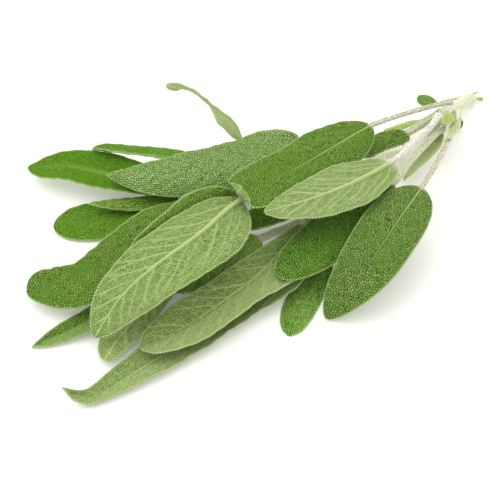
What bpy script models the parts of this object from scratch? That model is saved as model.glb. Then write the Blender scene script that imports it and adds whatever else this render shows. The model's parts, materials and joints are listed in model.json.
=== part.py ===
"""A bunch of fresh cut sage, lying down: two shoots on one short stem, with their leaves.

Each leaf is one body, its blade and stalk together, built around a midrib that runs through
a few points from the stalk's foot to the tip. The numbers here are millimetres until MM turns
them to metres. The bunch points along +X from its leaf tips to its cut end, and lies on Z = 0.
"""

import math

import bmesh
import bpy
import numpy as np

MM = 0.001
COLLECTION = "sage_bunch"

BLADE_THICK = 0.6  # the woolly blade
STALK_THICK = 1.2
TIP_HALF = 0.35  # half the width left at the very tip
REST_HEIGHT = 0.31  # the middle of a blade that lies on the surface
STALK_CELLS = 3  # cells along a stalk, along a blade and across it
BLADE_CELLS = 14
ACROSS_CELLS = 4
STALK_FLARE = 8  # how fast the stalk's width gives way to the blade's
END_CROWDING = 0.55  # 0 spaces the cells of a blade evenly, 1 crowds them at its two ends

# An end of a blade is a curve of two powers: a higher first one is blunter.
ROUND_BASE = (2.2, 0.6)
BLUNT_BASE = (2.6, 0.5)
NARROW_BASE = (1.8, 0.7)
SHARP_TIP = (1.8, 0.75)
ROUND_TIP = (2.0, 0.62)
BLUNT_TIP = (2.6, 0.52)
SQUARE_TIP = (5, 0.4)

STEM_STEPS = 26
STEM_RESOLUTION = 2  # eight sides
CUT_RADIUS = 0.8
CUT_SIDES = 10
BUD_SIZE = (3.2, 1.5, 1.5)

GREEN = (0.075, 0.19, 0.03)
PALE = (0.30, 0.42, 0.17)
YELLOW_GREEN = (0.40, 0.50, 0.08)
WOOLLY = (0.50, 0.48, 0.36)
FRESH_CUT = (0.38, 0.42, 0.17)
DRY_BROWN = (0.16, 0.09, 0.03)
LEAF_ROUGHNESS = 0.6
STEM_ROUGHNESS = 0.85

# roll is 0 with a blade's upper side up and 180 with its underside up. fold lifts the halves
# of a blade towards its upper side and curl bends them on towards the margin, in degrees.
# One list is for both halves and a pair of lists for the (left, right) half, looking from
# the foot to the tip with the upper side up. A list runs from the blade's base to its tip.
LEAVES = [
    dict(
        name="leaf_long_low",
        stalk=[(22, -13.3, 8.2), (14, -22, 6), (5, -31, 6)],
        rib=[
            (-8, -34, 4.5),
            (-20.5, -33.5, 3),
            (-31.5, -33, 1.5),
            (-54.5, -35.5, 1),
            (-74, -38, 0.6),
            (-87, -39, 0.6),
            (-91.5, -37.5, 2.5),
            (-94.5, -35.5, 7),
        ],
        width=15, widest=0.42, stalk_width=1.6, tip=SHARP_TIP,
        roll=[180], fold=[-12], curl=[-12],
    ),
    dict(
        name="leaf_pale_folded",
        stalk=[(12, -16, 9.4)],
        rib=[
            (1, -19, 9),
            (-8.5, -23, 7.5),
            (-21, -27.5, 6.5),
            (-34, -30.5, 6),
            (-45.5, -32.5, 5.5),
            (-57, -33.5, 5),
            (-67, -33, 4.5),
        ],
        width=21, widest=0.5, stalk_width=1.6, tip=BLUNT_TIP, base=BLUNT_BASE,
        roll=[180], fold=([-24], [-6, -14]), lopsided=([0.5, 0.74, 0.95], [1.9, 1.08, 0.82, 0.9, 0.95]),
    ),
    dict(
        name="leaf_pale_broad",
        stalk=[(19.5, -10.3, 11.7), (10, -7.5, 14.3), (-0.5, -7, 15.5)],
        rib=[
            (-14.5, -6, 17.5),
            (-34, -12.5, 18.5),
            (-54, -16.5, 17),
            (-66, -19, 13.5),
            (-78, -24.5, 8),
        ],
        width=25, widest=0.42, stalk_width=2.2, tip=ROUND_TIP,
        roll=[180], fold=[4], curl=[-10], lopsided=([0.92, 0.92, 1.02], [1.3, 1.06, 1.05]),
    ),
    dict(
        name="leaf_pale_short",
        stalk=[(67, -2.4, 11.3), (62.5, -4.9, 12), (49, -12, 16)],
        rib=[(37.5, -18, 19.5), (18.5, -22, 22.5), (1.5, -21, 22.5), (-13, -17, 21)],
        width=19, widest=0.45, stalk_width=2.4, tip=ROUND_TIP, base=NARROW_BASE,
        roll=[180], fold=[2], curl=[-6],
    ),
    dict(
        name="leaf_blunt_tip",
        stalk=[(77.5, 5, 8), (58.5, 4.5, 12)],
        rib=[
            (41.5, 2.5, 16),
            (24, -1.5, 18.5),
            (4.5, -5, 20),
            (-9, -5.3, 20.6),
            (-15.5, -6, 21.2),
        ],
        width=21, widest=0.5, stalk_width=1.8, tip=SQUARE_TIP, base=BLUNT_BASE,
        fold=([0], [8]), curl=([-30, -26, 0], [-15]),
        lopsided=([1, 1, 1.05], [1, 1, 0.85]),
    ),
    dict(
        name="leaf_pebbled_back",
        stalk=[(36, 4, 6.5), (28, 4.5, 10.5)],
        rib=[(19, 11.5, 13), (-3, 12, 14.5), (-24, 18.5, 14), (-44.5, 32.5, 11)],
        width=22, widest=0.36, stalk_width=1.6, tip=SHARP_TIP, base=BLUNT_BASE,
        fold=([0], [8]), curl=([-45], [-15]), lopsided=([1, 1, 1.15], [1, 0.88, 0.9]),
    ),
    dict(
        name="leaf_twisted_back",
        stalk=[(26, 7, 5.6), (21, 11.5, 7), (13, 21.5, 8.5)],
        rib=[(3.5, 24, 11), (0.4, 27.3, 17), (-4.2, 33.2, 23.5), (-8.5, 38, 28), (-16, 41.5, 31)],
        width=7.2, widest=0.35, stalk_width=1, tip=BLUNT_TIP,
        roll=[-120, -105, -62, -52, -95], fold=[10], lopsided=([0.6, 0.5, 1], [1.1, 1.2, 1]),
    ),
    dict(
        name="leaf_edge_back",
        stalk=[(9, 9.5, 6.5), (4.5, 13, 6.5)],
        rib=[(-10.5, 25, 6.5), (-20, 32.2, 7), (-31.5, 40, 8.2), (-42.2, 48.2, 8.9)],
        width=8.8, widest=0.38, stalk_width=1.2, tip=BLUNT_TIP,
        roll=[-20], fold=[20],
    ),
    dict(
        name="leaf_far_left",
        stalk=[(-1, 9, 8.2), (-10.5, 8.5, 8.5)],
        rib=[(-20.5, 13.5, 8), (-32.5, 25, 7), (-43.5, 38, 6.5), (-52.5, 48, 6), (-63.5, 56, 4)],
        width=19, widest=0.6, stalk_width=1.4, tip=ROUND_TIP,
        fold=[8], lopsided=([0.8, 0.8, 1.1], [1.1, 0.92, 0.75]),
    ),
    dict(
        name="leaf_left_upper",
        stalk=[(-1.5, 8.2, 4.1), (-9, 6.5, 3.3)],
        rib=[(-24.5, 12.5, 2.5), (-37, 18, 2), (-50, 22.5, 1.4), (-67, 29, 1)],
        width=19, widest=0.62, stalk_width=1.4, tip=BLUNT_TIP,
        curl=[-10], lopsided=([1, 0.85, 0.85], [1]),
    ),
    dict(
        name="leaf_left_narrow",
        stalk=[(-6.7, 11.4, 5.5)],
        rib=[(-19.5, 13, 5), (-31.5, 16.5, 5.5), (-42, 21.5, 5.5), (-53.5, 29, 5)],
        width=9, widest=0.5, stalk_width=1.2, tip=SHARP_TIP,
        curl=[-30], lopsided=([0.6], [1]),
    ),
    dict(
        name="leaf_left_broad",
        stalk=[(2, 7.5, 8), (-6.5, 3.5, 9)],
        rib=[
            (-20, 4.5, 9),
            (-35.5, 4, 9),
            (-52, 0.5, 8),
            (-67, 0, 6.5),
            (-78, 2, 5),
            (-86.8, 6.7, 4),
        ],
        width=24, widest=0.55, stalk_width=1.6, tip=SQUARE_TIP,
        fold=[6], curl=[-10],
        lopsided=([1, 1, 1, 0.95, 0.6], [1, 1, 1, 0.95, 0.88, 0.76, 0.6, 0.7, 0.95]),
    ),
    dict(
        name="leaf_cupped",
        stalk=[(9, 5.8, 8.1), (6.5, 1, 8.6), (0, -1.5, 12)],
        rib=[(-12, 0.3, 12), (-27.5, -0.9, 11.8), (-44, -3.4, 10.5), (-60, -7, 9)],
        width=19, widest=0.4, stalk_width=1.6, tip=ROUND_TIP,
        fold=([8], [75, 60, 60, 72, 68, 60, 50]),
    ),
    dict(
        name="leaf_left_low",
        stalk=[(-30.2, -13.2, 3), (-38, -11.5, 2.7)],
        rib=[(-48.5, -11, 2), (-63, -11.5, 1.5), (-77.5, -12, 0.7), (-94.5, -12.5, 0.7)],
        width=12, widest=0.5, stalk_width=1.2, tip=SHARP_TIP,
        fold=[10], lopsided=([1.05], [0.68]),
    ),
    dict(
        name="leaf_pale_small",
        stalk=[(-24.5, -11, 3.6), (-26.5, -7.8, 4.6), (-30.5, -6.8, 6.2), (-38, -12, 7.8)],
        rib=[(-46.5, -18, 7), (-56.5, -19.5, 5), (-67.5, -23.5, 3.5), (-78, -30, 2.5)],
        width=12, widest=0.6, stalk_width=1.2, tip=BLUNT_TIP,
        roll=[180], lopsided=([1], [1, 0.9, 0.7]),
    ),
    dict(
        name="leaf_dark_inner",
        stalk=[(-7.5, -15, 7)],
        rib=[(-13.5, -15.5, 7.5), (-27.5, -16.5, 6.5), (-39, -17.5, 5), (-47.5, -18, 4)],
        width=14, widest=0.35, stalk_width=1.2, tip=ROUND_TIP, base=BLUNT_BASE,
        curl=[-10],
    ),
    dict(
        name="leaf_right_inner",
        stalk=[(65.5, -5.6, 9), (46.5, -15, 12)],
        rib=[
            (33.5, -22.5, 14),
            (18, -26, 13.5),
            (4, -29.5, 12),
            (-7.5, -31.5, 10.5),
            (-18, -33.5, 9.5),
        ],
        width=19, widest=0.55, stalk_width=2.4, tip=BLUNT_TIP,
        fold=[4], curl=([-40], [-10]), lopsided=([1, 0.93, 0.85], [1, 1, 0.82]),
    ),
    dict(
        name="leaf_right_broad",
        stalk=[(76, -2.4, 6), (57.5, -17.5, 12)],
        rib=[
            (38.5, -31, 17),
            (25, -38.5, 17.5),
            (6, -47.5, 13),
            (-4.5, -49.5, 6),
            (-10, -50, 0.6),
        ],
        width=21, widest=0.48, stalk_width=1.9, tip=ROUND_TIP, base=BLUNT_BASE,
        roll=[10], fold=[4], curl=[-12], lopsided=([1, 0.88, 0.84], [1]),
    ),
    dict(
        name="leaf_front_small",
        stalk=[(17.5, -13.7, 7.2), (16, -19, 4.5), (13.5, -25, 2)],
        rib=[(5, -29.5, 1.5), (-5.5, -36, 1), (-13.5, -41.5, 0.6), (-23.5, -49.5, 0.5)],
        width=13, widest=0.55, stalk_width=1.2, tip=BLUNT_TIP,
        fold=[-22], lopsided=([0.85], [1]),
    ),
    dict(
        name="leaf_base_dark",
        stalk=[(73, 3.5, 6.5), (65, 1.5, 8)],
        rib=[(55.5, -0.4, 8.3), (50.2, -1, 8.5), (45.8, -0.8, 8.5), (40, -0.6, 8.2), (33, -1, 8)],
        width=12.5, widest=0.35, stalk_width=2.1, tip=ROUND_TIP, base=BLUNT_BASE,
        fold=[-4], curl=[-20], lopsided=([0.72], [1.1]),
    ),
    dict(
        name="leaf_base_round",
        stalk=[(85.2, 8.4, 3.6), (79.5, 8.5, 4.5)],
        rib=[(75.5, 8.5, 5.5), (72.6, 10.3, 6.5), (69, 12.6, 7)],
        width=6.2, widest=0.62, stalk_width=0.9, tip=BLUNT_TIP, base=NARROW_BASE,
    ),
    dict(
        name="leaf_base_yellow",
        stalk=[(69, 3.5, 5.3)],
        rib=[(64.5, 4.3, 5.6), (60.2, 5, 5.8), (56.1, 5.6, 5.8), (51, 6.8, 5.5)],
        width=2.8, widest=0.5, stalk_width=0.9,
    ),
    dict(
        name="leaf_base_narrow",
        stalk=[(69.5, -3.3, 6.6)],
        rib=[(67.3, -5.2, 6.4), (61.8, -8.2, 6), (56, -10.4, 5.5), (50, -12.4, 5), (44, -15.5, 4)],
        width=5, widest=0.4, stalk_width=1,
    ),
    dict(
        name="leaf_hidden_inner",
        stalk=[(13.5, -11.4, 10.5)],
        rib=[(5.5, -10.5, 11), (-3, -11, 11.5), (-11.5, -10.5, 11), (-18.5, -10, 10)],
        width=11, widest=0.5, stalk_width=1.2,
    ),
    dict(
        name="leaf_young",
        stalk=[(74.2, -0.3, 9.7)],
        rib=[(72.4, -2.2, 10.8), (68.8, -5.5, 12.1), (65.2, -8, 13)],
        width=4.2, widest=0.5, stalk_width=0.9, colour=YELLOW_GREEN,
    ),
    dict(
        name="leaf_young_woolly",
        stalk=[(76.3, -1.8, 9.3)],
        rib=[(73.4, -5.3, 10.1), (69.9, -8.6, 10.8), (66.3, -10.9, 11.5), (62.9, -12.8, 12.2)],
        width=3.6, widest=0.5, stalk_width=1,
    ),
]

# name, colour, and the (x, y, z, radius) that a stem passes through
STEMS = [
    ("main_stem", WOOLLY, [(89.8, 7, 2.1, 2.1), (83.5, 4.5, 4.5, 2), (75.5, 1, 6.6, 2.2)]),
    (
        "shoot_front",
        WOOLLY,
        [
            (72, -1, 7.8, 1.3),
            (62, -4.3, 9.2, 1.1),
            (50, -7.9, 10.6, 1.1),
            (39, -7.5, 10.8, 1.1),
            (20, -11.5, 9.5, 1.3),
            (2, -15.5, 7, 1.3),
            (-13, -13, 4, 1.3),
            (-29.5, -13.5, 3, 1.2),
        ],
    ),
    (
        "shoot_back",
        WOOLLY,
        [
            (73.5, 3.5, 3.6, 1.2),
            (67, 4, 3, 1.2),
            (55, 3, 3, 1.2),
            (38.5, 3.5, 4, 1.2),
            (15.5, 6, 6, 1.2),
            (-2, 10, 6, 1.2),
            (-6, 11.3, 5.6, 1.1),
        ],
    ),
]
CUT_END = [(90.8, 7, 1.7), (93.7, 5.2, 1.2)]
BUD_PLACE = (78.3, -2.2, 2.2)
BUD_TURN = (0, -24, 32)


def clear_scene():
    for obj in list(bpy.data.objects):
        bpy.data.objects.remove(obj, do_unlink=True)


def make_material(name, colour, roughness):
    material = bpy.data.materials.new(name)
    material.use_nodes = True
    shader = material.node_tree.nodes["Principled BSDF"]
    shader.inputs["Base Color"].default_value = (*colour, 1)
    shader.inputs["Roughness"].default_value = roughness
    shader.inputs["Metallic"].default_value = 0
    return material


def smooth_path(points, steps=24):
    """A smooth curve through the points: places along it, and the distance run at each."""
    given = np.array(points, float)
    given = np.vstack([2 * given[0] - given[1], given, 2 * given[-1] - given[-2]])
    places = []
    for before, start, stop, after in zip(given, given[1:], given[2:], given[3:]):
        near = math.sqrt(np.linalg.norm(start - before))
        here = math.sqrt(np.linalg.norm(stop - start))
        far = math.sqrt(np.linalg.norm(after - stop))
        leave = (start - before) / near - (stop - before) / (near + here) + (stop - start) / here
        arrive = (stop - start) / here - (after - start) / (here + far) + (after - stop) / far
        for t in np.arange(steps) / steps:
            places.append(
                (2 * t**3 - 3 * t**2 + 1) * start
                + (t**3 - 2 * t**2 + t) * leave * here
                + (3 * t**2 - 2 * t**3) * stop
                + (t**3 - t**2) * arrive * here
            )
    places = np.array(places + [given[-2]])
    run = np.r_[0, np.cumsum(np.linalg.norm(np.diff(places, axis=0), axis=1))]
    return places, run


def along(values, t):
    """Values spread evenly over 0 to 1, eased from one to the next, at each t."""
    values = np.array(values, float)
    if len(values) == 1:
        return np.full(len(t), values[0])
    spot = t * (len(values) - 1)
    index = np.clip(spot.astype(int), 0, len(values) - 2)
    part = spot - index
    if len(values) > 2:
        part = part * part * (3 - 2 * part)
    return values[index] * (1 - part) + values[index + 1] * part


def halves(setting, t):
    """A setting's values in the left and the right half of a blade."""
    pair = setting if isinstance(setting, tuple) else (setting, setting)
    return [along(values, t) for values in pair]


def half_width(leaf, t):
    """Half the width of a blade: its base end widens to the widest place, its tip end narrows."""
    widest = leaf["widest"]
    base_power, base_root = leaf.get("base", ROUND_BASE)
    tip_power, tip_root = leaf.get("tip", ROUND_TIP)
    below = np.clip((widest - t) / widest, 0, 1)
    above = np.clip((t - widest) / (1 - widest), 0, 1)
    shape = np.where(t < widest, (1 - below**base_power) ** base_root, (1 - above**tip_power) ** tip_root)
    return leaf["width"] / 2 * shape


def cross_section(share, fold, curl):
    """How far out and up a half of a blade reaches at a share of its width, for each row."""
    steps = np.linspace(0, share, 25)
    angle = np.radians(fold)[:, None] + np.radians(curl)[:, None] * steps
    return np.trapz(np.cos(angle), steps, axis=1), np.trapz(np.sin(angle), steps, axis=1)


def leaf_surface(leaf):
    """The middle surface of a leaf, as rows of points across it from the foot to the tip."""
    places, run = smooth_path(leaf["stalk"] + leaf["rib"])
    to_base = np.linalg.norm(places - np.array(leaf["rib"][0]), axis=1)
    base = run[np.argmin(to_base)]
    even = np.linspace(0, 1, BLADE_CELLS + 1)
    blade = END_CROWDING * (0.5 - 0.5 * np.cos(math.pi * even)) + (1 - END_CROWDING) * even
    stalk = np.linspace(0, base, STALK_CELLS + 1)[:-1]
    rows = np.r_[stalk, base + (run[-1] - base) * blade]
    on_stalk = rows < base
    t = np.r_[np.zeros(len(stalk)), blade]

    heading = np.gradient(places, axis=0)
    rib = np.stack([np.interp(rows, run, places[:, axis]) for axis in range(3)], axis=1)
    ahead = np.stack([np.interp(rows, run, heading[:, axis]) for axis in range(3)], axis=1)
    ahead /= np.linalg.norm(ahead, axis=1)[:, None]
    level = np.cross(ahead, (0, 0, 1))
    level /= np.linalg.norm(level, axis=1)[:, None]
    over = np.cross(level, ahead)
    roll = np.radians(along(leaf.get("roll", [0]), t))[:, None]
    aside = level * np.cos(roll) + over * np.sin(roll)
    upper = np.cross(aside, ahead)

    stalk_half = leaf["stalk_width"] / 2
    half = np.maximum(half_width(leaf, t), stalk_half * np.clip(1 - STALK_FLARE * t, 0, 1))
    half = np.maximum(np.where(on_stalk, stalk_half, half), TIP_HALF)
    folds = halves(leaf.get("fold", [0]), t)
    curls = halves(leaf.get("curl", [0]), t)
    lopsided = halves(leaf.get("lopsided", [1]), t)
    points = []
    for share in np.linspace(-1, 1, ACROSS_CELLS + 1):
        side = int(share > 0)
        flat = np.where(on_stalk, 0, 1)
        out, up = cross_section(abs(share), folds[side] * flat, curls[side] * flat)
        reach = (half * lopsided[side])[:, None]
        points.append(rib + reach * (math.copysign(1, share) * out[:, None] * aside + up[:, None] * upper))
    points = np.array(points)
    points[..., 2] = np.maximum(points[..., 2], REST_HEIGHT)
    return points, on_stalk


def finish_object(name, mesh, colour, roughness, collection):
    mesh.materials.append(make_material(name, colour, roughness))
    mesh.shade_smooth()
    obj = bpy.data.objects.new(name, mesh)
    collection.objects.link(obj)
    return obj


def make_leaf(leaf, collection):
    """A grid laid on the leaf's middle surface, then given the thickness of blade and stalk."""
    surface, on_stalk = leaf_surface(leaf)
    columns, rows = surface.shape[:2]
    shape = bmesh.new()
    bmesh.ops.create_grid(shape, x_segments=rows - 1, y_segments=columns - 1, size=1)
    stalk_points = []
    for vertex in shape.verts:
        row = round((vertex.co.x + 1) / 2 * (rows - 1))
        column = round((vertex.co.y + 1) / 2 * (columns - 1))
        vertex.co = surface[column, row] * MM
        if on_stalk[row]:
            stalk_points.append(vertex.index)
    mesh = bpy.data.meshes.new(leaf["name"])
    shape.to_mesh(mesh)
    shape.free()

    pale_side_up = leaf.get("roll", [0])[0] == 180
    colour = leaf.get("colour", PALE if pale_side_up else GREEN)
    obj = finish_object(leaf["name"], mesh, colour, LEAF_ROUGHNESS, collection)
    obj.vertex_groups.new(name="stalk").add(stalk_points, 1, "REPLACE")
    wall = obj.modifiers.new("thickness", "SOLIDIFY")
    wall.thickness = STALK_THICK * MM
    wall.offset = 0
    wall.vertex_group = "stalk"
    wall.thickness_vertex_group = BLADE_THICK / STALK_THICK


def make_stem(name, colour, stations, collection):
    """A tube of changing radius along a smooth curve."""
    places, run = smooth_path(stations)
    even = np.linspace(0, run[-1], STEM_STEPS + 1)
    stops = np.stack([np.interp(even, run, places[:, axis]) for axis in range(4)], axis=1)
    curve = bpy.data.curves.new(name, "CURVE")
    curve.dimensions = "3D"
    curve.bevel_depth = MM
    curve.bevel_resolution = STEM_RESOLUTION
    curve.use_fill_caps = True
    spline = curve.splines.new("POLY")
    spline.points.add(len(stops) - 1)
    for point, (x, y, z, radius) in zip(spline.points, stops):
        point.co = (x * MM, y * MM, z * MM, 1)
        point.radius = radius
    curve.materials.append(make_material(name, colour, STEM_ROUGHNESS))
    collection.objects.link(bpy.data.objects.new(name, curve))


def make_cut_end(collection):
    """The bare end of the stem, cut square."""
    start, stop = (np.array(point) * MM for point in CUT_END)
    shape = bmesh.new()
    bmesh.ops.create_cone(
        shape,
        cap_ends=True,
        segments=CUT_SIDES,
        radius1=CUT_RADIUS * MM,
        radius2=CUT_RADIUS * MM,
        depth=float(np.linalg.norm(stop - start)),
    )
    mesh = bpy.data.meshes.new("stem_cut_end")
    shape.to_mesh(mesh)
    shape.free()
    obj = finish_object("stem_cut_end", mesh, FRESH_CUT, STEM_ROUGHNESS, collection)
    across = stop - start
    obj.location = (start + stop) / 2
    obj.rotation_euler = (
        0,
        math.acos(across[2] / np.linalg.norm(across)),
        math.atan2(across[1], across[0]),
    )


def make_dry_bud(collection):
    """A small brown bud that has dried beside the lowest leaf stalk."""
    shape = bmesh.new()
    bmesh.ops.create_uvsphere(shape, u_segments=10, v_segments=6, radius=MM / 2)
    for vertex in shape.verts:
        vertex.co.x *= BUD_SIZE[0]
        vertex.co.y *= BUD_SIZE[1]
        vertex.co.z *= BUD_SIZE[2]
    mesh = bpy.data.meshes.new("dry_bud")
    shape.to_mesh(mesh)
    shape.free()
    obj = finish_object("dry_bud", mesh, DRY_BROWN, STEM_ROUGHNESS, collection)
    obj.location = [value * MM for value in BUD_PLACE]
    obj.rotation_euler = [math.radians(angle) for angle in BUD_TURN]


def main():
    clear_scene()
    collection = bpy.data.collections.new(COLLECTION)
    bpy.context.scene.collection.children.link(collection)
    for leaf in LEAVES:
        make_leaf(leaf, collection)
    for name, colour, stations in STEMS:
        make_stem(name, colour, stations, collection)
    make_cut_end(collection)
    make_dry_bud(collection)


main()
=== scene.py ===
import json
import math

import bpy
import numpy as np
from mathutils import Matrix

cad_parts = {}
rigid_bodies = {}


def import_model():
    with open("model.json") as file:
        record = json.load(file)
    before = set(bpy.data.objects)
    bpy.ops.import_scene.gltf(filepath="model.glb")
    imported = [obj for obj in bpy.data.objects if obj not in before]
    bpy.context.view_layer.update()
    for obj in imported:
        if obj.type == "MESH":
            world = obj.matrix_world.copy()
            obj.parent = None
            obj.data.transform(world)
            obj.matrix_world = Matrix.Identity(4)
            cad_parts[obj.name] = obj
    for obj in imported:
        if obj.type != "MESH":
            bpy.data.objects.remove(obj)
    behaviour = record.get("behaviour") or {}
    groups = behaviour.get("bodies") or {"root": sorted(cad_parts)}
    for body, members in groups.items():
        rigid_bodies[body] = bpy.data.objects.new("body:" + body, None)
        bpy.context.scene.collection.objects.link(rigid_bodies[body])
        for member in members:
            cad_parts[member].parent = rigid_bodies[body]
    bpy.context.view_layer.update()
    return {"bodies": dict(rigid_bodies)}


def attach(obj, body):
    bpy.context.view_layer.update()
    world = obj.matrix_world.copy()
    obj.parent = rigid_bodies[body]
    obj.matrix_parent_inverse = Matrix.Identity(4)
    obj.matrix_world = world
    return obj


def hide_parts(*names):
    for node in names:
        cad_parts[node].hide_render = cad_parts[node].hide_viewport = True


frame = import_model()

# A bunch of fresh cut sage, lying down. Sizes are in millimetres until mm turns them to metres.
mm = 0.001
body = list(frame["bodies"])[0]
bpy.ops.object.select_all(action="DESELECT")


def linear(hexColour):
    # sRGB hex to the linear numbers that sockets take
    channels = [int(hexColour[i:i + 2], 16) / 255 for i in (1, 3, 5)]
    return (*[c / 12.92 if c <= 0.04045 else ((c + 0.055) / 1.055) ** 2.4 for c in channels], 1)


def addNode(tree, kind, settings=None, values=None, links=None):
    # settings are the node's own choices, values and links go to its inputs
    node = tree.nodes.new(kind)
    for name, value in (settings or {}).items():
        setattr(node, name, value)
    for name, value in (values or {}).items():
        node.inputs[name].default_value = value
    for name, source in (links or {}).items():
        tree.links.new(source, node.inputs[name])
    return node


def mixColours(tree, factor, first, second):
    # first and second are hex colours or sockets, and factor is a socket
    node = addNode(tree, "ShaderNodeMix", {"data_type": "RGBA"}, links={0: factor})
    for index, colour in ((6, first), (7, second)):
        if isinstance(colour, str):
            node.inputs[index].default_value = linear(colour)
        else:
            tree.links.new(colour, node.inputs[index])
    return node.outputs[2]


def newMaterial(name, settings):
    # a material whose principled shader has these settings
    material = bpy.data.materials.new(name)
    material.use_nodes = True
    tree = material.node_tree
    tree.nodes.clear()
    output = addNode(tree, "ShaderNodeOutputMaterial")
    shader = addNode(tree, "ShaderNodeBsdfPrincipled", values=settings)
    tree.links.new(shader.outputs[0], output.inputs["Surface"])
    return material, tree, shader


def finishPiece(piece, material, node, standsFor=True):
    # standsFor says whether the piece takes the CAD node's place or only adds to it
    piece.data.materials.clear()
    piece.data.materials.append(material)
    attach(piece, body)
    if standsFor:
        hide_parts(node)
    piece.select_set(False)


# The camera looks down on the bunch from the leaf tips' side.
camera = {
    "target": (-20, -20, 10), "distance": 445, "azimuth": -31, "elevation": 49,
    "lens": 100, "nearest": 10,
}
azimuth, elevation = math.radians(camera["azimuth"]), math.radians(camera["elevation"])
away = (
    -math.sin(azimuth) * math.cos(elevation),
    math.cos(azimuth) * math.cos(elevation),
    -math.sin(elevation),
)
bpy.ops.object.camera_add(
    location=[(t - a * camera["distance"]) * mm for t, a in zip(camera["target"], away)],
    rotation=(math.pi / 2 - elevation, 0, azimuth),
)
bpy.context.object.data.lens = camera["lens"]
bpy.context.object.data.clip_start = camera["nearest"] * mm
bpy.context.scene.camera = bpy.context.object

# One wide soft light from behind on the left, and an even bright room.
light = {
    "place": (-0.12, 0.83, 0.92), "size": 2.1, "power": 13,  # metres and watts
    "sky": 1.13, "skyColour": "#fdfefb",
}
bpy.ops.object.light_add(type="AREA", location=light["place"])
softbox = bpy.context.object
softbox.data.size = light["size"]
softbox.data.energy = light["power"]
softbox.rotation_euler = (-softbox.location).to_track_quat("-Z", "Y").to_euler()

world = bpy.data.worlds.new("studio")
bpy.context.scene.world = world
world.use_nodes = True
sky = world.node_tree.nodes["Background"]
sky.inputs["Color"].default_value = linear(light["skyColour"])
sky.inputs["Strength"].default_value = light["sky"]
bpy.context.scene.view_settings.view_transform = "Standard"

table = {"size": 6, "colour": "#f6f5f1", "glow": 0.12}  # size in metres
bpy.ops.mesh.primitive_plane_add(size=table["size"])
floor = bpy.context.object
floor.name = "table"
# matt acrylic lit a little from below, which takes up most of the shadow
floorMaterial, _, _ = newMaterial("white acrylic, lit from below", {
    "Base Color": linear(table["colour"]),
    "Roughness": 0.9,
    "Emission Color": linear("#ffffff"),
    "Emission Strength": table["glow"],
})
floor.data.materials.append(floorMaterial)
floor.select_set(False)
print("camera, light and floor ready")


# Leaf shape. An end of a blade is a curve of two powers: a higher first one is blunter.
roundBase = (2.2, 0.6)
bluntBase = (2.6, 0.5)
narrowBase = (1.8, 0.7)
sharpTip = (1.8, 0.75)
roundTip = (2.0, 0.62)
bluntTip = (2.6, 0.52)
squareTip = (5, 0.4)

blade = {
    "thick": 0.4,
    "cell": 0.26,  # size of the mesh's squares
    "tipHalf": 0.3,  # half the width left at the very tip
    "restHeight": 0.31,  # lowest place of a leaf's middle surface
    "lowestUpper": 0.06,
    "lowestUnder": 0.02,
    "stalkFlare": 8,  # how fast a stalk's width is lost in the blade
    "crowding": 0.55,  # of the rows towards the blade's two ends
    "stalkRows": 0.6,  # spacing of the rows along a stalk
    "footReach": 0.9,  # how far a stalk's foot runs on into the shoot's wool
    "footWiden": 0.7,
    "footLength": 2.5,
    "channelHalf": 0.55,  # share of a stalk's half
    "hemRadius": 0.55,  # of a tip that is rolled back
    "hemAngle": 150,
}


def smoothPath(points, steps=24):
    # a centripetal curve through the points, with the distance run at each place along it
    given = np.array(points, float)
    given = np.vstack([2 * given[0] - given[1], given, 2 * given[-1] - given[-2]])
    places = []
    for before, start, stop, after in zip(given, given[1:], given[2:], given[3:]):
        near = math.sqrt(np.linalg.norm(start - before))
        here = math.sqrt(np.linalg.norm(stop - start))
        far = math.sqrt(np.linalg.norm(after - stop))
        leave = (start - before) / near - (stop - before) / (near + here) + (stop - start) / here
        arrive = (stop - start) / here - (after - start) / (here + far) + (after - stop) / far
        for t in np.arange(steps) / steps:
            places.append(
                (2 * t**3 - 3 * t**2 + 1) * start
                + (t**3 - 2 * t**2 + t) * leave * here
                + (3 * t**2 - 2 * t**3) * stop
                + (t**3 - t**2) * arrive * here
            )
    places = np.array(places + [given[-2]])
    run = np.r_[0, np.cumsum(np.linalg.norm(np.diff(places, axis=0), axis=1))]
    return places, run


def onPath(rows, run, values):
    # the values of a path at the given distances along it
    columns = [np.interp(rows, run, values[:, axis]) for axis in range(values.shape[1])]
    return np.stack(columns, axis=1)


def unit(vectors):
    # each at length 1
    return vectors / np.maximum(np.linalg.norm(vectors, axis=-1, keepdims=True), 1e-12)


def along(values, t):
    # values spread over 0 to 1 and eased from one to the next, at each t
    values = np.array(values, float)
    if len(values) == 1:
        return np.full(len(t), values[0])
    spot = t * (len(values) - 1)
    index = np.clip(spot.astype(int), 0, len(values) - 2)
    part = spot - index
    if len(values) > 2:
        part = part * part * (3 - 2 * part)
    return values[index] * (1 - part) + values[index + 1] * part


def halves(setting, t):
    # the left and right half's values at each t
    pair = setting if isinstance(setting, tuple) else (setting, setting)
    return [along(values, t) for values in pair]


def step(low, high, x):
    # 0 up to low, 1 from high, and eased between
    t = np.clip((x - low) / (high - low), 0, 1)
    return t * t * (3 - 2 * t)


def halfWidth(leaf, t):
    # half the blade's width, with t from 0 at its base to 1 at its tip
    widest = leaf["widest"]
    basePower, baseRoot = leaf.get("base", roundBase)
    tipPower, tipRoot = leaf.get("tip", roundTip)
    below = np.clip((widest - t) / widest, 0, 1)
    above = np.clip((t - widest) / (1 - widest), 0, 1)
    shape = np.where(
        t < widest, (1 - below**basePower) ** baseRoot, (1 - above**tipPower) ** tipRoot
    )
    return leaf["width"] / 2 * shape


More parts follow.
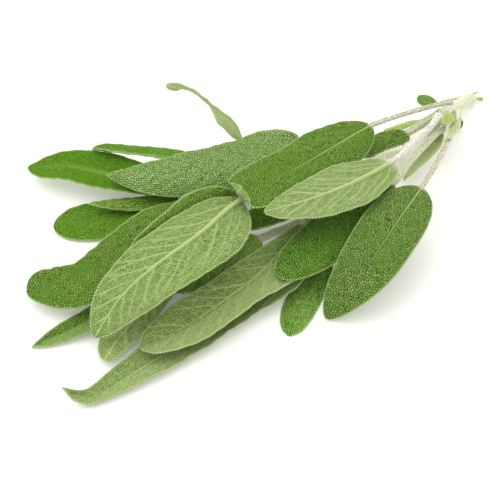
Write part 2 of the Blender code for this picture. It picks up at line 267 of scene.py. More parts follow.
def leafSurface(leaf):
    # the middle surface of a leaf: rows from the foot to the tip, columns from left to right
    cell = leaf.get("cell", blade["cell"])
    hem = leaf.get("hem", 0)
    points = np.array(leaf["stalk"] + leaf["rib"], float)
    points = np.vstack([points[0] - unit(points[1] - points[0]) * blade["footReach"], points])
    places, run = smoothPath(points)
    base = run[np.argmin(np.linalg.norm(places - np.array(leaf["rib"][0]), axis=1))]
    length = run[-1] - base + hem
    even = np.linspace(0, 1, int(length / cell) + 1)
    crowded = 0.5 - 0.5 * np.cos(math.pi * even)
    onBlade = blade["crowding"] * crowded + (1 - blade["crowding"]) * even
    onStalk = np.linspace(0, base, int(base / blade["stalkRows"]) + 2)[:-1]
    rows = np.r_[onStalk, base + length * onBlade]
    t = np.r_[np.zeros(len(onStalk)), onBlade]
    stalkRow = rows < base

    ahead = unit(onPath(rows, run, np.gradient(places, run, axis=0)))
    past = np.maximum(rows - run[-1], 0)[:, None]
    rib = onPath(rows, run, places) + ahead * past
    level = unit(np.cross(ahead, (0, 0, 1)))
    over = np.cross(level, ahead)
    roll = np.radians(along(leaf.get("roll", [0]), t))[:, None]
    aside = level * np.cos(roll) + over * np.sin(roll)
    upper = np.cross(aside, ahead)

    stalkHalf = leaf["stalkWidth"] / 2
    half = np.maximum(halfWidth(leaf, t), stalkHalf * np.clip(1 - blade["stalkFlare"] * t, 0, 1))
    foot = 1 + blade["footWiden"] * np.exp(-rows / blade["footLength"])
    half = np.maximum(np.where(stalkRow, stalkHalf * foot, half), blade["tipHalf"])
    columns = int(leaf["width"] / cell) // 2
    share = np.linspace(0, 1, columns + 1)
    sides = []
    for side, (fold, curl, lop) in enumerate(zip(
        halves(leaf.get("fold", [0]), t),
        halves(leaf.get("curl", [0]), t),
        halves(leaf.get("lopsided", [1]), t),
    )):
        flat = np.where(stalkRow, 0, 1)
        lop = np.where(stalkRow, 1, lop)
        angle = np.radians((fold * flat)[:, None] + (curl * flat)[:, None] * share)
        middle = (angle[:, 1:] + angle[:, :-1]) / 2
        out = np.c_[np.zeros(len(t)), np.cumsum(np.cos(middle), axis=1)] / columns
        up = np.c_[np.zeros(len(t)), np.cumsum(np.sin(middle), axis=1)] / columns
        reach = (half * lop)[:, None]
        asideBy = (side * 2 - 1) * reach * out
        upBy = reach * up
        aheadBy = np.zeros_like(upBy)
        if hem:
            # past its line the tip is rolled back over the upper side
            radius = blade["hemRadius"]
            turn = np.minimum(past / radius, math.radians(blade["hemAngle"]))
            flatPart = past - turn * radius
            aheadBy = np.sin(turn) * (radius - upBy) + np.cos(turn) * flatPart - past
            upBy = radius * (1 - np.cos(turn)) + np.sin(turn) * flatPart + np.cos(turn) * upBy
        place = (
            rib[:, None]
            + asideBy[..., None] * aside[:, None]
            + upBy[..., None] * upper[:, None]
            + aheadBy[..., None] * ahead[:, None]
        )
        sides.append((place, reach * share * (side * 2 - 1), np.broadcast_to(reach, out.shape)))
    surface, reach, half = [
        np.concatenate([left[:, :0:-1], right], axis=1) for left, right in zip(*sides)
    ]
    surface[..., 2] = np.maximum(surface[..., 2], blade["restHeight"])
    return surface, reach, half, rows - base, t, upper


def normalsOf(surface, upper, run):
    # normals out of the upper side, told from the part of a leaf that is short of any rolled tip
    normal = unit(np.cross(np.gradient(surface, axis=1), np.gradient(surface, axis=0)))
    shortOfTip = run < run.max() * 0.8
    return normal * np.sign((normal * upper[:, None]).sum(axis=2)[shortOfTip].mean())


def cells(x, y, period, seed):
    # cells round a scatter of centres: how much further the next centre is than the nearest,
    # which is 0 on the wall between two cells, and each cell's own number
    repeat = 64
    farAway = 99.0
    draw = np.random.RandomState(seed)
    shiftX, shiftY, ownNumber = draw.uniform(0.15, 0.85, (3, repeat, repeat))
    column = np.floor(x / period).astype(int)
    row = np.floor(y / period).astype(int)
    near, second = np.full(x.shape, farAway), np.full(x.shape, farAway)
    own = np.zeros(x.shape)
    for i in (-1, 0, 1):
        for j in (-1, 0, 1):
            spot = ((column + i) % repeat, (row + j) % repeat)
            distance = np.hypot(
                (column + i + shiftX[spot]) * period - x, (row + j + shiftY[spot]) * period - y
            )
            closer = distance < near
            second = np.where(closer, near, np.minimum(second, distance))
            own = np.where(closer, ownNumber[spot], own)
            near = np.where(closer, distance, near)
    return second - near, own


# Leaf relief: what stands up on the upper side, and the veins that stand out below.
relief = {
    "pebble": 0.8,  # across one bump of the upper side, as on the largest leaves
    "pebbleHeight": 0.22,
    "pebbleWall": (0.05, 0.46),  # where a bump starts and ends its rise
    "pebbleSkew": 0.45,  # how far the bumps lean back along the side veins
    "net": 0.8,  # across one mesh of the fine net below
    "netHeight": 0.13,
    "netLine": (0.06, 0.34),
    "coarseNet": 2.7,
    "coarseLine": (0, 0.34),
    "netShares": (0.75, 0.45),  # of the fine and the coarse net
    "tooth": 0.85,  # from one tooth of the margin to the next
    "toothDepth": 0.45,
    "toothMiddle": 0.6,
    "wave": 0.35,  # of the margin, up and down
    "rim": (0.15, 0.7),  # where the light margin ends
    "rimDip": 0.08,
    "midribTaper": 0.75,
    "midribLeast": 0.24,
    "midribRise": 0.8,
    "midribShown": 0.75,
    "ribShown": 0.5,
    "ribReach": 0.8,
    "ribLine": 0.33,  # half of the light line that the midrib makes on the upper side
    "ribGroove": 0.15,
    "veinLean": 1.4,  # how far a side vein runs on for each mm that it goes out
    "veinCurve": 0.05,
    "veinGap": 6.2,
    "veinHalf": 0.18,
    "veinFlare": 0.07,  # how much wider a side vein is at the midrib
    "veinFade": 0.55,  # how much weaker it is at the margin
    "veinHeight": 0.16,
    "veinShown": 0.9,
    "veinDip": 0.06,
    "fork": 0.55,  # share of the half where a side vein forks
    "forkSpread": 0.36,
    "quiltRise": 0.16,  # of the blade between its side veins
    "quiltSink": 0.14,
}


def leafRelief(leaf, reach, half, run, t):
    # run and t are a column each, and the rest are whole grids
    seed = leaf["seed"]
    draw = np.random.RandomState(seed)
    run, t = run[:, None], t[:, None]
    onBlade = step(0, leaf.get("baseFade", 1.5), run)
    out = np.abs(reach)
    right = reach > 0
    share = out / half

    # the side veins run outwards, bend on towards the tip and fork near the margin
    lean = leaf.get("veinLean", relief["veinLean"])
    curve = relief["veinCurve"]
    wander = 0.5 * np.sin(out * 0.6 + draw.uniform(0, 6)) * step(1, 5, out)
    wander = wander + 0.4 * np.sin(run * 0.45 + draw.uniform(0, 6))
    wander = wander + 0.12 * np.sin(out * 2.6 + run)
    start = run - lean * out - curve * out**2 + wander
    gap = leaf.get("veinGap", relief["veinGap"])
    phase = start / gap + np.where(right, draw.uniform(0.2, 0.8), draw.uniform(0.2, 0.8))
    phase = phase + 0.16 * np.sin(phase * 1.9 + draw.uniform(0, 6))
    number = np.round(phase).astype(int)
    # each vein has its own strength, place and slant
    veins = 64
    index = (number + np.where(right, 0, veins // 2 - 1)) % veins
    strong = draw.uniform(0.45, 1, veins)[index]
    ownPlace = draw.uniform(-0.2, 0.2, veins)[index]
    ownPlace = ownPlace + draw.uniform(-0.02, 0.02, veins)[index] * out
    slope = lean + 2 * curve * out
    fromVein = (phase - number - ownPlace) * gap / np.sqrt(1 + slope**2)
    apart = relief["forkSpread"] * np.maximum(out - relief["fork"] * half, 0)
    forked = np.minimum(np.abs(fromVein - apart * 0.8), np.abs(fromVein + apart))
    veinHalf = relief["veinHalf"] + relief["veinFlare"] * np.clip(1 - share, 0, 1)
    fade = (1 - relief["veinFade"] * share**2) * step(0, 3, start + gap * 0.5)
    fade = fade * step(0.02, 0.12, 1 - t)
    sideVein = np.exp(-((forked / veinHalf) ** 2)) * fade * strong * onBlade

    # the midrib
    stalkHalf = leaf["stalkWidth"] / 2
    taper = np.clip(1 - t, 0, 1) ** relief["midribTaper"]
    ribHalf = np.maximum(stalkHalf * 0.95 * taper, relief["midribLeast"])
    ribHalf = np.where(run < 0, half, ribHalf)
    ribRound = np.sqrt(np.clip(1 - (out / ribHalf) ** 2, 0, 1))
    midrib = np.exp(-((out / (ribHalf * 0.85)) ** 4))

    # pebbles follow the side veins a little, in their own pattern in each half
    x = run - relief["pebbleSkew"] * out
    y = reach * 1.1
    fromWall, tone = cells(x, y, relief["pebble"], seed)
    dome = step(*relief["pebbleWall"], fromWall) * (0.8 + 0.4 * tone)
    ribReach = leaf.get("ribReach", relief["ribReach"])
    ribShown = leaf.get("ribShown", relief["ribShown"]) * np.clip(1 - t / ribReach, 0, 1) ** 0.6
    grow = onBlade * (1 - np.minimum(1.6 * ribShown, 1) * (1 - step(0.2, 0.7, out)))
    pebbles = dome * grow * (1 - 0.5 * np.clip(sideVein, 0, 1))

    # the net below
    fromWall, tone = cells(x, y, relief["net"], seed + 1)
    fine = (1 - step(*relief["netLine"], fromWall)) * (0.6 + 0.6 * tone)
    bentX, bentY = x + 0.4 * np.sin(y * 1.7), y + 0.4 * np.sin(x * 1.3)
    fromWall, _ = cells(bentX, bentY, relief["coarseNet"], seed + 2)
    coarse = 1 - step(*relief["coarseLine"], fromWall)
    fromRim = half - out
    fineShare, coarseShare = relief["netShares"]
    net = fineShare * fine + coarseShare * coarse * step(0.5, 3, fromRim)
    net = np.clip(net, 0, 1) * onBlade

    # the margin's light rim, and the blade's swell between its side veins
    rim = (1 - step(*relief["rim"], fromRim)) * onBlade
    quilt = np.cos(2 * math.pi * (phase - number)) * -0.5 + 0.5
    quilt = quilt * step(0.1, 0.5, share) * (1 - step(0.75, 1, share))
    quilt = quilt * step(0.0, 0.2, 1 - t) * onBlade
    return {
        "pebbles": pebbles,
        "net": net,
        "sideVein": np.clip(sideVein, 0, 1),
        "midrib": midrib,
        "ribRound": ribRound,
        "ribHalf": np.broadcast_to(ribHalf, out.shape),
        "rim": rim,
        "quilt": quilt,
        "ribLine": np.exp(-((reach / leaf.get("ribLine", relief["ribLine"])) ** 2)) * ribShown,
        "onBlade": np.broadcast_to(onBlade, out.shape),
    }


def addBakeMap(piece, row, column, edge=0.01):
    # the upper side takes the left half of the map and the under side, turned over, the right half
    mesh = piece.data
    corners = np.empty(len(mesh.loops), dtype=np.int32)
    mesh.loops.foreach_get("vertex_index", corners)
    corners = corners.reshape(-1, 4)
    below = corners >= len(row)
    r, c = row[corners % len(row)], column[corners % len(row)]
    across = edge + (0.5 - 2 * edge) * c / column.max()
    u = np.where(below, 1 - across, across)
    v = edge + (1 - 2 * edge) * r / row.max()
    # the thin faces round the margin lie in the strips between and outside the halves
    margin = below.any(axis=1) & ~below.all(axis=1)
    onLeft = (margin & (c == 0).all(axis=1))[:, None] & below
    u = np.where(onLeft, 0, u)
    for end, limit in ((0, 0), (row.max(), 1)):
        onEnd = (margin & (r == end).all(axis=1))[:, None] & below
        u, v = np.where(onEnd, across, u), np.where(onEnd, limit, v)
    layer = mesh.uv_layers[0]
    layer.name = "OFBake"
    layer.data.foreach_set("uv", np.stack([u, v], axis=-1).astype(np.float32).ravel())


def growLeaf(leaf):
    # a leaf as one closed mesh: its middle surface, moved out to an upper and an under side
    surface, reach, half, run, t, upper = leafSurface(leaf)
    rows, columns = reach.shape
    draw = np.random.RandomState(leaf["seed"] + 50)
    parts = leafRelief(leaf, reach, half, run, t)
    normal = normalsOf(surface, upper, run)
    share = reach / half

    # the margin: small round teeth, and slow waves up and down
    tooth = np.abs(np.sin(math.pi * (run / relief["tooth"] + 0.15 * np.sin(run * 0.9))))[:, None]
    outward = unit(np.gradient(surface, axis=1) * np.sign(share + 1e-9)[..., None])
    inBlade = (step(2, 6, run) * step(0, 0.04, 1 - t))[:, None]
    teeth = relief["toothDepth"] * (tooth - relief["toothMiddle"])
    surface = surface + outward * (teeth * np.abs(share) ** 8 * inBlade)[..., None]
    for side in (-1, 1):
        turns = draw.uniform(0.12, 0.2, 2)
        shift = draw.uniform(0, 6, 2)
        swing = np.sin(run * turns[0] + shift[0]) + 0.6 * np.sin(run * turns[1] * 2.3 + shift[1])
        swing = swing + 0.35 * np.sin(run * 1.25 + shift[0])
        onSide = np.clip(share * side, 0, 1) ** 2
        lift = relief["wave"] * swing[:, None] * onSide * inBlade
        surface = surface + normal * lift[..., None]

    thick = blade["thick"]
    bumps = leaf.get("bumps", 1)
    stalkHalf = leaf["stalkWidth"] / 2
    onStalk = 1 - parts["onBlade"]
    channel = np.exp(-((share / blade["channelHalf"]) ** 2))
    rim = parts["rim"] * (0.1 + 0.9 * tooth**3)
    roundStalk = np.sqrt(np.clip(1 - share**2, 0, 1))
    top = (
        thick / 2
        + relief["pebbleHeight"] * bumps * parts["pebbles"]
        + relief["quiltRise"] * parts["quilt"] * bumps
        - relief["veinDip"] * parts["sideVein"] * bumps
        - leaf.get("ribGroove", relief["ribGroove"]) * parts["ribLine"] * parts["onBlade"]
        - relief["rimDip"] * parts["rim"]
        + onStalk * stalkHalf * (0.5 * roundStalk - 0.35 * channel)
    )
    under = (
        thick / 2
        + relief["netHeight"] * parts["net"]
        + leaf.get("veinHeight", relief["veinHeight"]) * parts["sideVein"]
        + relief["midribRise"] * parts["ribHalf"] * parts["ribRound"]
        - relief["quiltSink"] * parts["quilt"]
        - onStalk * thick * 0.3
    )

    # round the margin off, and keep clear of the table
    edge = np.sqrt(np.clip(1 - np.abs(share) ** 24, 0, 1)) * 0.75 + 0.25
    upperSide = surface + normal * (top * edge)[..., None]
    underSide = surface - normal * (under * edge)[..., None]
    upperSide[..., 2] = np.maximum(upperSide[..., 2], blade["lowestUpper"])
    underSide[..., 2] = np.maximum(underSide[..., 2], blade["lowestUnder"])

    # a grid with a row for each place along the leaf, given its thickness and then its shape
    bpy.ops.mesh.primitive_grid_add(x_subdivisions=rows - 1, y_subdivisions=columns - 1, size=2)
    piece = bpy.context.object
    piece.name = leaf["name"] + "_look"
    flat = np.empty(rows * columns * 3)
    piece.data.vertices.foreach_get("co", flat)
    flat = flat.reshape(-1, 3)
    row = np.round((flat[:, 0] + 1) / 2 * (rows - 1)).astype(int)
    column = np.round((1 - flat[:, 1]) / 2 * (columns - 1)).astype(int)
    piece.modifiers.new("two sides", "SOLIDIFY").thickness = thick * mm
    bpy.ops.object.modifier_apply(modifier="two sides")
    places = np.concatenate([upperSide[row, column], underSide[row, column]]) * mm
    piece.data.vertices.foreach_set("co", places.ravel())
    piece.data.update()
    addBakeMap(piece, row, column)

    # attributes that the leaf's material reads
    upperVein = np.maximum(parts["sideVein"] * 0.12, parts["ribLine"]) * parts["onBlade"]
    underVein = np.maximum(
        parts["sideVein"] * leaf.get("veinShown", relief["veinShown"]),
        parts["midrib"] * relief["midribShown"],
    )
    # painted light: how much each half of the blade is lightened to stand in for the light it
    # catches
    paintedLightLeft, paintedLightRight = leaf.get("paintedLightHalf", (0, 0))
    pale = (step(0, 0.2, -share) * paintedLightLeft + step(0, 0.2, share) * paintedLightRight) * parts["onBlade"]
    values = {
        "side": (np.ones_like(reach), np.zeros_like(reach)),
        # on the upper side this lightens the pebble tops as a painted highlight, over painted shade
        # in the grooves; below it is the net
        "bump": (parts["pebbles"] ** 1.2, parts["net"]),
        "vein": (upperVein, underVein),
        "rim": (rim, rim),
        "stalk": (onStalk, onStalk),
        "channel": (channel, 0 * channel),
        # painted light on a half of the blade
        "pale": (pale, pale),
    }
    for name, pair in values.items():
        attribute = piece.data.attributes.new(name, "FLOAT", "POINT")
        both = np.concatenate([grid[row, column] for grid in pair])
        attribute.data.foreach_set("value", both.astype(np.float32))
    bpy.ops.object.shade_smooth()
    return piece


# The upper side's colours: painted shade in the grooves and a painted highlight on the bumps, in
# patches and along the midrib.
leafLooks = {
    "pebbled": {"paintedShadeGroove": "#234203", "bump": "#8eae50", "patch": "#4c7a14", "topVein": "#aec474"},
    "smooth": {"paintedShadeGroove": "#345b04", "bump": "#6e9c2b", "patch": "#457805", "topVein": "#88a947"},
    "dark": {"paintedShadeGroove": "#244003", "bump": "#739935", "patch": "#416b0f", "topVein": "#8fa64a"},
    "yellow": {"paintedShadeGroove": "#899b3e", "bump": "#b3c662", "patch": "#9fb250", "topVein": "#c0cc7c"},
}
# The under side's, between and on the lines of its net, along the veins and in patches.
undersideLook = {"ground": "#4c6225", "net": "#a9bf7b", "vein": "#b6c787", "patch": "#7c924c"}
rimColour = "#bccd90"
# painted light: this colour lightens a half of a blade in place of the shading that makes it look
# lighter
paintedLightColour = "#b4c688"  # where a half catches more light on its wool
stalkColours = ("#e4e1cd", "#a9a284", "#b9a888")  # wool, the skin between, and the channel
leafPattern = {
    "patch": 9.09,  # across a patch of another green, in mm
    "wool": 0.4545,  # across a tuft, several times a real one's so that it shows
    "woolHeight": 0.1,
}


def leafMaterial(leaf):
    # A sage leaf is matt: short wool covers both sides, thicker and paler below. The upper side
    # is drawn into small bumps, with a painted highlight on top and painted shade between, and the
    # veins stand out below.
    look = dict(leafLooks[leaf.get("look", "pebbled")], **leaf.get("colours", {}))
    under = dict(undersideLook, **leaf.get("underColours", {}))
    material, tree, shader = newMaterial("sage leaf, " + leaf["name"].replace("_", " "), {
        "Roughness": 0.6,
        "IOR": 1.42,
        "Specular IOR Level": 0.06,
        "Sheen Weight": 0.02,
        "Sheen Roughness": 0.5,
        "Sheen Tint": linear("#dbe4b8"),
        "Subsurface Weight": 0.05,
        "Subsurface Radius": (0.5, 1.0, 0.1),
        "Subsurface Scale": 0.8 * mm,
    })
    value = {
        name: addNode(tree, "ShaderNodeAttribute", {"attribute_name": name}).outputs["Fac"]
        for name in ("side", "bump", "vein", "rim", "stalk", "channel", "pale")
    }
    place = addNode(tree, "ShaderNodeTexCoord").outputs["Object"]
    patches = addNode(
        tree, "ShaderNodeTexNoise",
        values={"Scale": 1 / (leafPattern["patch"] * mm), "Detail": 3}, links={"Vector": place},
    )
    patchShare = addNode(
        tree, "ShaderNodeMapRange", values={"From Min": 0.42, "From Max": 0.62, "To Max": 0.35},
        links={"Value": patches.outputs["Fac"]},
    ).outputs["Result"]
    wool = addNode(
        tree, "ShaderNodeTexNoise",
        values={"Scale": 1 / (leafPattern["wool"] * mm), "Detail": 2}, links={"Vector": place},
    )
    woolShare = addNode(
        tree, "ShaderNodeMapRange", values={"From Min": 0.42, "From Max": 0.6},
        links={"Value": wool.outputs["Fac"]},
    ).outputs["Result"]

    # painted shade in the grooves and a painted highlight on the bump tops, over the real relief
    upper = mixColours(tree, value["bump"], look["paintedShadeGroove"], look["bump"])
    upper = mixColours(tree, patchShare, upper, look["patch"])
    upper = mixColours(tree, value["vein"], upper, look["topVein"])
    below = mixColours(tree, value["bump"], under["ground"], under["net"])
    below = mixColours(tree, patchShare, below, under["patch"])
    below = mixColours(tree, value["vein"], below, under["vein"])
    colour = mixColours(tree, value["side"], below, upper)
    # painted light: a lighter colour over the half of the blade that catches more light
    colour = mixColours(tree, value["pale"], colour, paintedLightColour)
    colour = mixColours(tree, value["rim"], colour, leaf.get("rimColour", rimColour))
    stalkPale, stalkSkin, stalkChannel = leaf.get("stalkColours", stalkColours)
    stalk = mixColours(tree, value["channel"], stalkSkin, stalkChannel)
    stalk = mixColours(tree, woolShare, stalk, stalkPale)
    colour = mixColours(tree, value["stalk"], colour, stalk)
    tree.links.new(colour, shader.inputs["Base Color"])
    bump = addNode(
        tree, "ShaderNodeBump",
        values={"Strength": 0.25, "Distance": leafPattern["woolHeight"] * mm},
        links={"Height": wool.outputs["Fac"]},
    )
    tree.links.new(bump.outputs["Normal"], shader.inputs["Normal"])
    return material


